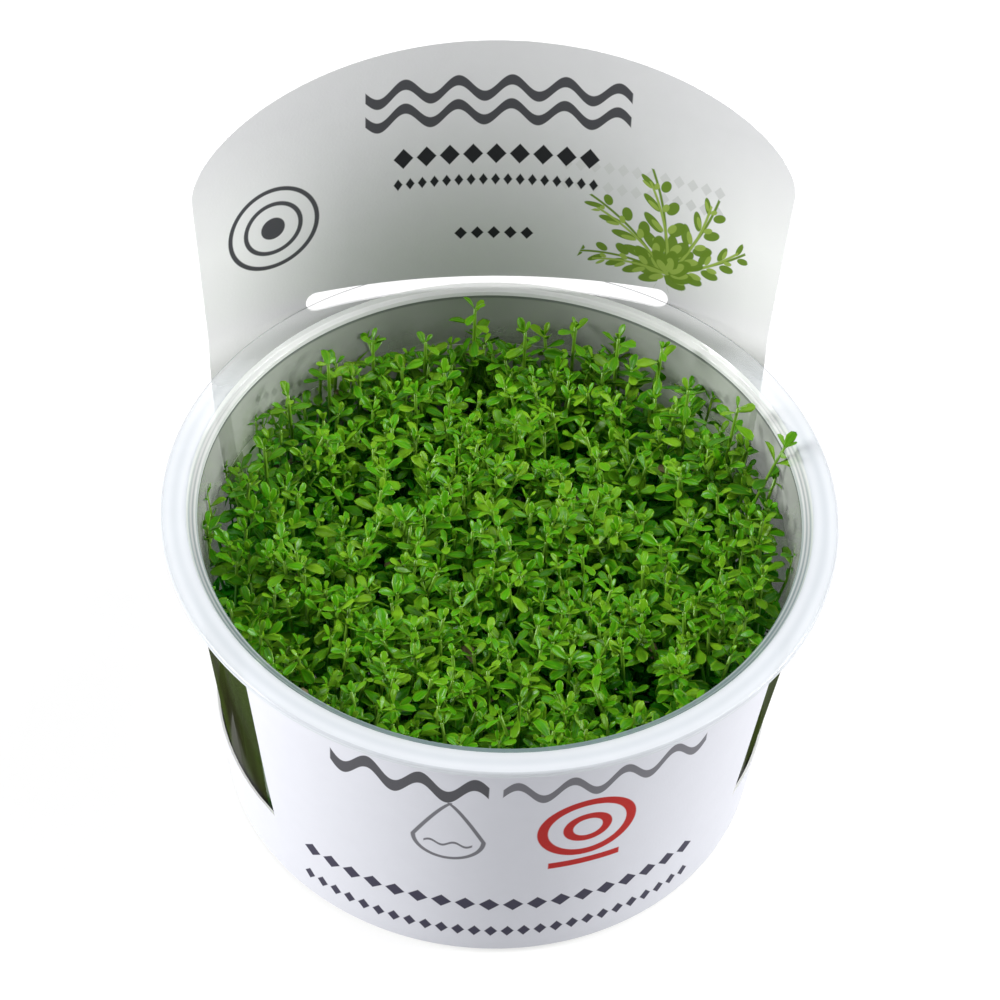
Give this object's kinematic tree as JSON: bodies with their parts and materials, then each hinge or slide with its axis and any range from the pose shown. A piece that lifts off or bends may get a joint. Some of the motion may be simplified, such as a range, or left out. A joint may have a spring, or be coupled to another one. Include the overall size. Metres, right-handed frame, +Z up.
{
  "type": "dwarf baby tears in a tissue-culture cup",
  "caption": "Mat of dwarf baby tears, an aquarium plant, grown on gel in a clear flanged cup held in a card sleeve with a tall header.",
  "frame": {"origin": "centre of the underside of the cup's foot", "axes": "+Z up along the cup's axis, +Y towards the tall header, -Y towards the front panel"},
  "size_m": [0.101, 0.1025, 0.1022],
  "materials": {
    "clear_plastic": "clear, glossy",
    "printed_card": "satin coated card",
    "gel": "clear wet gel",
    "leaves": "wet leaf",
    "shoot_leaves": "wet leaf"
  },
  "bodies": {
    "root": {"cup": "clear_plastic", "sleeve": "printed_card", "medium": "gel", "carpet": "leaves", "shoot_01": "shoot_leaves", "shoot_02": "shoot_leaves", "shoot_03": "shoot_leaves", "shoot_04": "shoot_leaves", "shoot_05": "shoot_leaves", "shoot_06": "shoot_leaves", "shoot_07": "shoot_leaves", "shoot_08": "shoot_leaves", "shoot_09": "shoot_leaves", "shoot_10": "shoot_leaves", "shoot_11": "shoot_leaves", "shoot_12": "shoot_leaves", "shoot_13": "shoot_leaves", "shoot_14": "shoot_leaves", "shoot_15": "shoot_leaves", "shoot_16": "shoot_leaves", "shoot_17": "shoot_leaves", "shoot_18": "shoot_leaves", "shoot_19": "shoot_leaves", "shoot_20": "shoot_leaves"}
  },
  "joints": []
}
